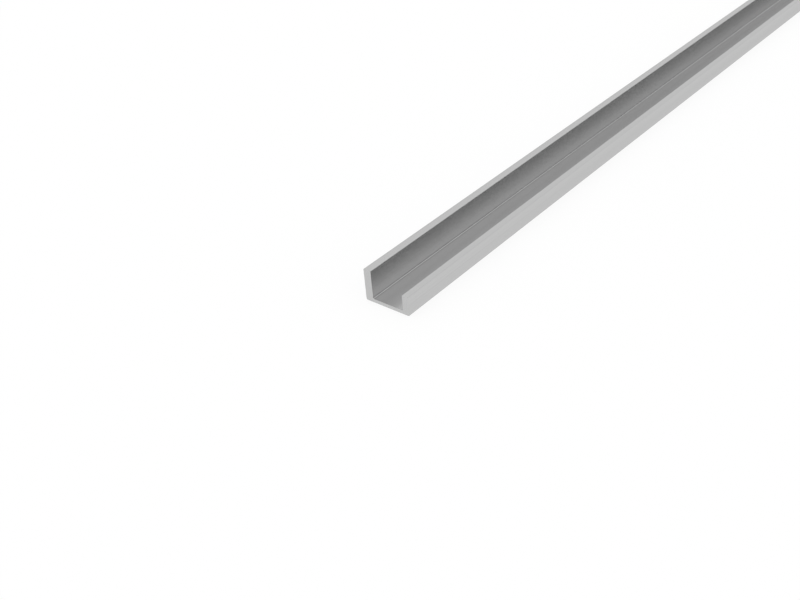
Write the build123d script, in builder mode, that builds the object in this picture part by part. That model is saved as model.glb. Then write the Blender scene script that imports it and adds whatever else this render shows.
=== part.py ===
"""Glass end profile: one length of extruded aluminium channel that caps the edge of a glass pane.

The section is a J with two unequal legs on a thin web. The pane's edge stands in the slot between the
legs, so the slot follows the glass, and the tall leg covers more of the pane than the short one.

The bar lies on its web, as it would on a floor. Its length runs along X, the tall leg stands at +Y and
the short leg at -Y, and the origin is the middle of the web's underside. Lengths are millimetres.
"""

import os

from build123d import *

# Length of bar as sold
bar_length = 1000.0

# Pane that the slot takes, and the play that lets it slide in
glass_thickness = 10.0
glass_play = 0.5

# Walls of the section
web_thickness = 1.1
tall_leg_height = 10.0
tall_leg_thickness = 2.5
short_leg_height = 6.0
short_leg_thickness = 2.0

# Corners of the section, as the die rounds them
root_radius = 0.5  # inside, where a leg meets the web
heel_radius = 0.5  # outside, under the tall leg
edge_radius = 0.1  # outside, at every other corner

# Burr taken off around the two sawn ends
deburr = 0.05

# Places across the section, with the middle of the web's underside as zero
slot_width = glass_thickness + glass_play
profile_width = tall_leg_thickness + slot_width + short_leg_thickness
tall_outside = profile_width / 2
tall_inside = tall_outside - tall_leg_thickness
short_inside = tall_inside - slot_width
short_outside = short_inside - short_leg_thickness

# Each corner of the section with its radius, once around from the short leg's foot
section_corners = [
    ((short_outside, 0), edge_radius),
    ((tall_outside, 0), heel_radius),
    ((tall_outside, tall_leg_height), edge_radius),
    ((tall_inside, tall_leg_height), edge_radius),
    ((tall_inside, web_thickness), root_radius),
    ((short_inside, web_thickness), root_radius),
    ((short_inside, short_leg_height), edge_radius),
    ((short_outside, short_leg_height), edge_radius),
]

os.makedirs("parts", exist_ok=True)

with BuildPart() as glass_end_profile:
    # The die's opening, drawn across the bar at one of its ends
    with BuildSketch(Plane.YZ.offset(-bar_length / 2)):
        with BuildLine():
            FilletPolyline(
                *[corner for corner, radius in section_corners],
                radius=[radius for corner, radius in section_corners],
                close=True,
            )
        make_face()
    extrude(amount=bar_length)

    # The sawn ends, with the burr taken off all around
    sawn_ends = glass_end_profile.faces().filter_by(Axis.X)
    chamfer(sawn_ends.edges(), length=deburr)

glass_end_profile.part.label = "glass_end_profile"
export_step(glass_end_profile.part, "parts/glass_end_profile.step")
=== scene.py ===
"""Looks of the glass end profile: a bar of mill-finish aluminium extrusion lying on a white studio floor.

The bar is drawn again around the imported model's box, with its corners rounded as the die rounds them and
its ends deburred after the saw. Sizes are named in millimetres and turned to metres where they are used.
"""

import math

import bmesh
import bpy
from mathutils import Matrix, Vector


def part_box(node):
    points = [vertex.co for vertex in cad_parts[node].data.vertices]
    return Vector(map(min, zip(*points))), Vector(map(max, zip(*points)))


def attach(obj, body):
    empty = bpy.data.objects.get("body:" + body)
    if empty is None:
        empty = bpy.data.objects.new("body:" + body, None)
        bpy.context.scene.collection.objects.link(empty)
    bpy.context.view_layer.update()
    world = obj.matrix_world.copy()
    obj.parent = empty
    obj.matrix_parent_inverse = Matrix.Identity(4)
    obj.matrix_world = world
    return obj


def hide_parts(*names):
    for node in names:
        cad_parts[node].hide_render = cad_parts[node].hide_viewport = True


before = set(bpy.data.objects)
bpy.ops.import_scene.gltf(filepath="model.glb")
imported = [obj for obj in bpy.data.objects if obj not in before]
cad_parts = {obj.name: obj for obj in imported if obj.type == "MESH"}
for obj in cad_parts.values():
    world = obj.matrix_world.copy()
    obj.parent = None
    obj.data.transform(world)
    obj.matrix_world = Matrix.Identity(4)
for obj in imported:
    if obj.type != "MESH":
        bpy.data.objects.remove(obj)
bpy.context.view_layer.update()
bar_low, bar_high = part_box("glass_end_profile")

MM = 0.001

# Walls of the J section, in millimetres
WEB = 1.1
TALL_LEG = 2.5
SHORT_LEG = 2.0
SHORT_LEG_HEIGHT = 6.0

# Corners of the section and the burr taken off the sawn ends, in millimetres, and the facets in each
ROOT_RADIUS = 0.5
HEEL_RADIUS = 0.5
EDGE_RADIUS = 0.1
DEBURR = 0.05
CORNER_STEPS = 8
DEBURR_STEPS = 2

# A face is a sawn end where more than this share of its normal points along the bar
SAWN_END_SHARE = 0.999

# Lines that the die leaves along the bar, in millimetres, and how far they are drawn out along it
DIE_LINE_SPACING = 0.3
DIE_BAND_SPACING = 3.5
DIE_LINE_DEPTH = 0.01
DIE_LINE_STRETCH = 1000.0

# Arcs of the saw's teeth on the ends, and the blade, whose rim comes down to the bar's foot, in millimetres
SAW_MARK_SPACING = 0.42
SAW_MARK_DEPTH = 0.02
SAW_BLADE_RADIUS = 150.0

# Radians that a wave texture turns through in a metre, at a scale of 1
WAVE_RADIANS = 20.0

# Aluminium hardly brightens towards a grazing look, so its edge colour is held a little below white
EDGE_TINT = (0.86, 0.86, 0.86, 1.0)

# The photograph's viewpoint, from the middle of the near end's foot, in millimetres and degrees
VIEW_FROM = Vector((-159.76, -147.36, 148.53))
VIEW_HEADING = 41.745
VIEW_DIP = 33.963
VIEW_ROLL = -5.047
VIEW_ANGLE = 45.0

# The nearest and farthest things that the camera sees, in metres
SIGHT_NEAR = 0.01
SIGHT_FAR = 100.0

# The floor's width in metres, and the hair's breadth it lies under the bar, in millimetres
FLOOR_SPAN = 30.0
FLOOR_GAP = 0.02
# Share of the floor's white that no shadow takes away
FLOOR_GLOW = 0.85

# How bright the white room shows in the metal
ROOM_TONE = 0.895
# The darker gap overhead between the room's two side lights. Its middle and soft edges are sideways runs
# over height, and it fades in between two heights of a unit ray
GAP_TONE = 0.4
GAP_MIDDLE = -0.15
GAP_INNER = 0.3
GAP_OUTER = 0.5
GAP_LOW = 0.3
GAP_HIGH = 0.6
# Least height of a ray that its sideways run is divided by, so that level rays don't divide by zero
LEAST_HEIGHT = 0.001
# The light on the camera's side stops short of the bar's far end, so the room is dimmer there. The middle of
# that corner is an angle from the bar, and its soft edges are angles from its middle, in degrees
DIM_HEADING = -18.0
DIM_OUTER = 34.0
DIM_INNER = 18.0
DIM_SHARE = 0.88


def linear(code):
    """A colour written as an sRGB hex code, as the linear red, green, blue and alpha that sockets take."""
    shares = [int(code[place:place + 2], 16) / 255 for place in (1, 3, 5)]
    return [s / 12.92 if s <= 0.04045 else ((s + 0.055) / 1.055) ** 2.4 for s in shares] + [1.0]


def add(tree, kind, settings=None, **inputs):
    """Adds a node, sets its properties and fills its inputs with values or with other nodes' outputs.

    An input goes by its name, with underscores for spaces, or by its number after an underscore.
    """
    node = tree.nodes.new(kind)
    for name, value in (settings or {}).items():
        setattr(node, name, value)
    for name, value in inputs.items():
        socket = node.inputs[int(name[1:])] if name[1:].isdigit() else node.inputs[name.replace("_", " ")]
        if isinstance(value, bpy.types.NodeSocket):
            tree.links.new(value, socket)
        else:
            socket.default_value = value
    return node


def new_material(name):
    """An empty node material, with its tree and its output's surface socket."""
    material = bpy.data.materials.new(name)
    material.use_nodes = True
    tree = material.node_tree
    tree.nodes.clear()
    return material, tree, add(tree, "ShaderNodeOutputMaterial").inputs["Surface"]


def bare_aluminium(tree, tone, colours, roughness, relief):
    """The metal under both finishes. As the tone rises, colour and roughness go from first to second."""
    colour = add(tree, "ShaderNodeMix", {"data_type": "RGBA"}, _0=tone,
                 _6=linear(colours[0]), _7=linear(colours[1])).outputs[2]
    gloss = add(tree, "ShaderNodeMapRange", Value=tone,
                To_Min=roughness[0], To_Max=roughness[1]).outputs["Result"]
    return add(tree, "ShaderNodeBsdfPrincipled", Base_Color=colour, Metallic=1.0, Roughness=gloss,
               Specular_Tint=EDGE_TINT, Normal=relief).outputs["BSDF"]


def mill_finish_aluminium():
    """Aluminium as it leaves the die: pale grey metal, satin, with fine straight lines along the bar."""
    material, tree, surface = new_material("aluminium_mill_finish_extruded")
    place = add(tree, "ShaderNodeTexCoord").outputs["Object"]
    drawn_out = add(tree, "ShaderNodeMapping", Vector=place,
                    Scale=(1 / DIE_LINE_STRETCH, 1.0, 1.0)).outputs["Vector"]
    # Real die lines are a few hundredths of a millimetre wide, so these are coarser, to show at this size
    lines = add(tree, "ShaderNodeTexNoise", Vector=drawn_out, Scale=1 / (DIE_LINE_SPACING * MM),
                Detail=1.0).outputs["Fac"]
    bands = add(tree, "ShaderNodeTexNoise", Vector=drawn_out, Scale=1 / (DIE_BAND_SPACING * MM),
                Detail=0.0).outputs["Fac"]
    streaks = add(tree, "ShaderNodeMath", {"operation": "ADD"}, _0=lines, _1=bands).outputs["Value"]
    # The sum of two noises keeps near its middle, so its reach is narrower than from 0 to 2
    tone = add(tree, "ShaderNodeMapRange", Value=streaks, From_Min=0.6, From_Max=1.4).outputs["Result"]
    relief = add(tree, "ShaderNodeBump", Height=lines, Strength=0.15,
                 Distance=DIE_LINE_DEPTH * MM).outputs["Normal"]
    metal = bare_aluminium(tree, tone, colours=("#C4C4C4", "#CCCCCC"), roughness=(0.26, 0.20), relief=relief)
    tree.links.new(metal, surface)
    return material


def sawn_aluminium():
    """Aluminium cut by a circular saw: the same metal but rougher, with shallow arcs from the teeth."""
    material, tree, surface = new_material("aluminium_sawn")
    place = add(tree, "ShaderNodeTexCoord").outputs["Object"]
    from_blade = add(tree, "ShaderNodeMapping", Vector=place,
                     Location=(0.0, 0.0, -SAW_BLADE_RADIUS * MM)).outputs["Vector"]
    # Real tooth marks are about a tenth of a millimetre apart, so these are coarser, to show at this size
    arcs = add(tree, "ShaderNodeTexWave", {"wave_type": "RINGS", "rings_direction": "X"}, Vector=from_blade,
               Scale=math.tau / WAVE_RADIANS / (SAW_MARK_SPACING * MM), Distortion=1.5, Detail=2.0,
               Detail_Scale=1.0).outputs["Fac"]
    relief = add(tree, "ShaderNodeBump", Height=arcs, Strength=0.2,
                 Distance=SAW_MARK_DEPTH * MM).outputs["Normal"]
    metal = bare_aluminium(tree, arcs, colours=("#C6C6C6", "#CBCBCB"), roughness=(0.34, 0.26), relief=relief)
    tree.links.new(metal, surface)
    return material


def section_corners():
    """Each corner of the J section as its place across the bar and its radius, in metres."""
    back = bar_high.y
    front = bar_low.y
    slot_back = back - TALL_LEG * MM
    slot_front = front + SHORT_LEG * MM
    foot = bar_low.z
    floor_of_slot = foot + WEB * MM
    tall_top = bar_high.z
    short_top = foot + SHORT_LEG_HEIGHT * MM
    return [
        (front, foot, EDGE_RADIUS * MM),
        (back, foot, HEEL_RADIUS * MM),
        (back, tall_top, EDGE_RADIUS * MM),
        (slot_back, tall_top, EDGE_RADIUS * MM),
        (slot_back, floor_of_slot, ROOT_RADIUS * MM),
        (slot_front, floor_of_slot, ROOT_RADIUS * MM),
        (slot_front, short_top, EDGE_RADIUS * MM),
        (front, short_top, EDGE_RADIUS * MM),
    ]


def long_edge(bm, y, z):
    """The edge that runs the length of the bar at this place across it."""
    def distance(edge):
        return max(abs(v.co.y - y) + abs(v.co.z - z) for v in edge.verts)
    return min(bm.edges, key=distance)


def round_off(bm, edges, radius, steps):
    """Rounds these edges to a radius in metres."""
    bmesh.ops.bevel(bm, geom=edges, offset=radius, offset_type="OFFSET", affect="EDGES",
                    segments=steps, profile=0.5, material=-1)


def in_scene(name, bm, materials):
    """Makes the bmesh an object of the scene, at the origin, with these materials in its slots."""
    mesh = bpy.data.meshes.new(name)
    bm.to_mesh(mesh)
    bm.free()
    for material in materials:
        mesh.materials.append(material)
    made = bpy.data.objects.new(name, mesh)
    bpy.context.scene.collection.objects.link(made)
    return made


def extruded_bar(drawn, sawn):
    """The bar: the J section drawn out to its length, its long edges rounded and its sawn ends deburred."""
    bm = bmesh.new()
    corners = section_corners()
    section = bm.faces.new([bm.verts.new((bar_low.x, y, z)) for y, z, radius in corners])
    pushed = bmesh.ops.extrude_face_region(bm, geom=[section])["geom"]
    far_end = [item for item in pushed if isinstance(item, bmesh.types.BMVert)]
    bmesh.ops.translate(bm, verts=far_end, vec=(bar_high.x - bar_low.x, 0, 0))
    bmesh.ops.recalc_face_normals(bm, faces=bm.faces)
    for y, z, radius in corners:
        round_off(bm, [long_edge(bm, y, z)], radius, CORNER_STEPS)
    ends = [face for face in bm.faces if abs(face.normal.x) > SAWN_END_SHARE]
    round_off(bm, [edge for face in ends for edge in face.edges], DEBURR * MM, DEBURR_STEPS)
    for face in bm.faces:
        face.smooth = True
        face.material_index = 1 if abs(face.normal.x) > SAWN_END_SHARE else 0
    bar = in_scene("extruded_bar", bm, [drawn, sawn])
    flats = bar.modifiers.new("flat_faces_stay_flat", "WEIGHTED_NORMAL")
    flats.keep_sharp = True
    return bar


def white_paint():
    """White floor paint, matt. It keeps a faint shadow, and the metal mirrors it as it does the room."""
    material, tree, surface = new_material("studio_floor_white_paint")
    paint = add(tree, "ShaderNodeBsdfDiffuse", Color=linear("#FFFFFF")).outputs["BSDF"]
    path = add(tree, "ShaderNodeLightPath").outputs
    mirrored = add(tree, "ShaderNodeMath", {"operation": "MAXIMUM"}, _0=path["Is Glossy Ray"],
                   _1=path["Is Transmission Ray"]).outputs["Value"]
    strength = add(tree, "ShaderNodeMix", {"data_type": "FLOAT"}, _0=mirrored,
                   _2=1.0, _3=ROOM_TONE).outputs[0]
    white = add(tree, "ShaderNodeEmission", Color=linear("#FFFFFF"), Strength=strength).outputs["Emission"]
    glow = add(tree, "ShaderNodeMath", {"operation": "MAXIMUM"}, _0=mirrored, _1=FLOOR_GLOW).outputs["Value"]
    shown = add(tree, "ShaderNodeMixShader", _0=glow, _1=paint, _2=white).outputs["Shader"]
    tree.links.new(shown, surface)
    return material


def white_floor():
    """A plain white floor, a hair's breadth under the bar."""
    bm = bmesh.new()
    bmesh.ops.create_grid(bm, x_segments=1, y_segments=1, size=FLOOR_SPAN / 2)
    bmesh.ops.translate(bm, verts=bm.verts, vec=(0, 0, bar_low.z - FLOOR_GAP * MM))
    return in_scene("floor", bm, [white_paint()])


def white_room():
    """A white room with a long soft light on each side of the bar, and a darker gap overhead between them.

    Its light is plain white, at which a colour renders about as it is written. Only the metal sees the gap
    and a dimmer corner: the gap gives the greys inside the slot and the fine lines along the root of the
    tall leg, and the corner darkens the slot slowly towards the bar's far end.
    """
    world = bpy.data.worlds.new("white_room")
    world.use_nodes = True
    tree = world.node_tree
    tree.nodes.clear()
    direction = add(tree, "ShaderNodeTexCoord").outputs["Generated"]
    way = add(tree, "ShaderNodeSeparateXYZ", Vector=direction).outputs

    height = add(tree, "ShaderNodeMath", {"operation": "MAXIMUM"}, _0=way["Z"],
                 _1=LEAST_HEIGHT).outputs["Value"]
    slant = add(tree, "ShaderNodeMath", {"operation": "DIVIDE"}, _0=way["Y"], _1=height).outputs["Value"]
    aside = add(tree, "ShaderNodeMath", {"operation": "SUBTRACT"}, _0=slant, _1=GAP_MIDDLE).outputs["Value"]
    reach = add(tree, "ShaderNodeMath", {"operation": "ABSOLUTE"}, _0=aside).outputs["Value"]
    across = add(tree, "ShaderNodeMapRange", Value=reach, From_Min=GAP_INNER, From_Max=GAP_OUTER,
                 To_Min=GAP_TONE, To_Max=ROOM_TONE).outputs["Result"]
    lit = add(tree, "ShaderNodeMapRange", Value=way["Z"], From_Min=GAP_LOW, From_Max=GAP_HIGH,
              To_Min=ROOM_TONE, To_Max=across).outputs["Result"]

    heading = math.radians(DIM_HEADING)
    facing = add(tree, "ShaderNodeVectorMath", {"operation": "DOT_PRODUCT"}, _0=direction,
                 _1=(math.cos(heading), math.sin(heading), 0.0)).outputs["Value"]
    dimmed = add(tree, "ShaderNodeMapRange", Value=facing, From_Min=math.cos(math.radians(DIM_OUTER)),
                 From_Max=math.cos(math.radians(DIM_INNER)), To_Min=1.0, To_Max=DIM_SHARE).outputs["Result"]
    tone = add(tree, "ShaderNodeMath", {"operation": "MULTIPLY"}, _0=lit, _1=dimmed).outputs["Value"]

    mirrored = add(tree, "ShaderNodeLightPath").outputs["Is Glossy Ray"]
    strength = add(tree, "ShaderNodeMix", {"data_type": "FLOAT"}, _0=mirrored, _2=1.0, _3=tone).outputs[0]
    glow = add(tree, "ShaderNodeBackground", Color=linear("#FFFFFF"), Strength=strength)
    add(tree, "ShaderNodeOutputWorld", Surface=glow.outputs["Background"])
    bpy.context.scene.world = world


def photo_camera():
    """The camera where the photograph was taken from, rolled as it was."""
    lens = bpy.data.cameras.new("photo_camera")
    lens.angle = math.radians(VIEW_ANGLE)
    lens.clip_start = SIGHT_NEAR
    lens.clip_end = SIGHT_FAR
    camera = bpy.data.objects.new("photo_camera", lens)
    near_foot = Vector((bar_low.x, 0, bar_low.z))
    camera.matrix_world = (
        Matrix.Translation(near_foot + VIEW_FROM * MM)
        @ Matrix.Rotation(math.radians(VIEW_HEADING - 90), 4, "Z")
        @ Matrix.Rotation(math.radians(90 - VIEW_DIP), 4, "X")
        @ Matrix.Rotation(math.radians(VIEW_ROLL), 4, "Z")
    )
    bpy.context.scene.collection.objects.link(camera)
    bpy.context.scene.camera = camera


bar = extruded_bar(mill_finish_aluminium(), sawn_aluminium())
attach(bar, "root")
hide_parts("glass_end_profile")

white_floor()
white_room()
photo_camera()
bpy.context.scene.view_settings.view_transform = "Standard"
